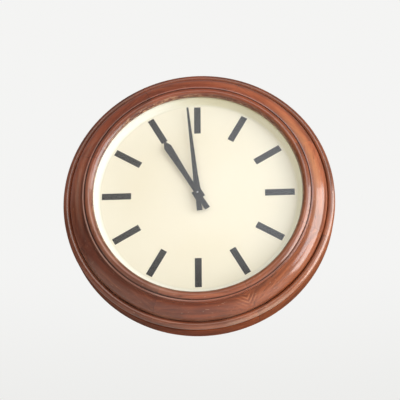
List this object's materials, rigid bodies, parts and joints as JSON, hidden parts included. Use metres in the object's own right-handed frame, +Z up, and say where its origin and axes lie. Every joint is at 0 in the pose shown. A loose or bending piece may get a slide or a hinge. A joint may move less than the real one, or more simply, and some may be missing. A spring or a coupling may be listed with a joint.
{
  "type": "station clock",
  "caption": "Round wall-hung station clock with a turned wooden case, glazed cream dial, plain hour batons, two black hands and a geared impulse movement.",
  "frame": {"origin": "centre of the case's back plane, on the axis of the hands", "axes": "+Z up, front of the clock faces -Y, +Y points into the wall, +X to the right seen from the front"},
  "size_m": [0.6036, 0.1031, 0.6036],
  "materials": {
    "mahogany": "polished",
    "plywood": "bare",
    "glass": "clear",
    "dial_enamel": "satin",
    "black_enamel": "matte",
    "rubber": "matte",
    "brass": "grained",
    "bright_steel": "bright",
    "zinc_steel": "zinc plated",
    "core_iron": "blackened",
    "bakelite": "moulded",
    "winding_tape": "varnished tape"
  },
  "bodies": {
    "case": {"front_surround": "mahogany", "rear_drum": "mahogany", "back_board": "plywood", "glass_pane": "glass", "dial_pan": "dial_enamel", "hour_batons": "black_enamel", "glass_gasket": "rubber", "cable_grommet": "rubber", "front_plate": "brass", "back_plate": "brass", "arbor_bushes": "brass", "dial_feet": "brass", "plate_pillars": "brass", "stator_posts": "brass", "coil_terminals": "brass", "minute_wheel_post": "bright_steel", "post_clip": "bright_steel", "case_screws": "bright_steel", "dial_screws": "bright_steel", "back_board_screws": "bright_steel", "hanger_screws": "bright_steel", "plate_screws": "bright_steel", "movement_screws": "bright_steel", "stator_screws": "bright_steel", "hanger_plate": "zinc_steel", "stator_core": "core_iron", "coil_bobbin": "bakelite", "coil_winding": "winding_tape"},
    "minute": {"minute_arbor": "bright_steel", "centre_wheel": "brass", "cannon_pinion": "brass", "minute_collet": "black_enamel", "minute_hand": "black_enamel", "hand_nut": "black_enamel", "setting_knob": "bakelite"},
    "hour": {"hour_wheel": "brass", "hour_pipe": "brass", "hour_collet": "black_enamel", "hour_hand": "black_enamel"},
    "minute_wheel": {"minute_wheel": "brass", "minute_pinion": "brass"},
    "intermediate": {"intermediate_arbor": "bright_steel", "intermediate_wheel": "brass", "intermediate_pinion": "bright_steel"},
    "rotor": {"rotor_arbor": "bright_steel", "rotor_magnet": "core_iron", "rotor_pinion": "bright_steel"}
  },
  "joints": [
    {"name": "minute_turn", "type": "hinge", "parent": "case", "child": "minute", "pos_m": [0, 0, 0], "axis": [0, 1, 0], "continuous": true},
    {"name": "hour_turn", "type": "hinge", "parent": "case", "child": "hour", "pos_m": [0, 0, 0], "axis": [0, 1, 0], "continuous": true},
    {"name": "minute_wheel_turn", "type": "hinge", "parent": "case", "child": "minute_wheel", "pos_m": [-0.024, 0, 0], "axis": [0, 1, 0], "continuous": true},
    {"name": "intermediate_turn", "type": "hinge", "parent": "case", "child": "intermediate", "pos_m": [0, 0, -0.03], "axis": [0, 1, 0], "continuous": true},
    {"name": "rotor_turn", "type": "hinge", "parent": "case", "child": "rotor", "pos_m": [0, 0, -0.06], "axis": [0, 1, 0], "continuous": true}
  ],
  "couplings": [
    {"joint": "hour_turn", "follows": "minute_turn", "ratio": 0.083333},
    {"joint": "minute_wheel_turn", "follows": "minute_turn", "ratio": -0.33333},
    {"joint": "intermediate_turn", "follows": "minute_turn", "ratio": -3},
    {"joint": "rotor_turn", "follows": "minute_turn", "ratio": 15}
  ]
}
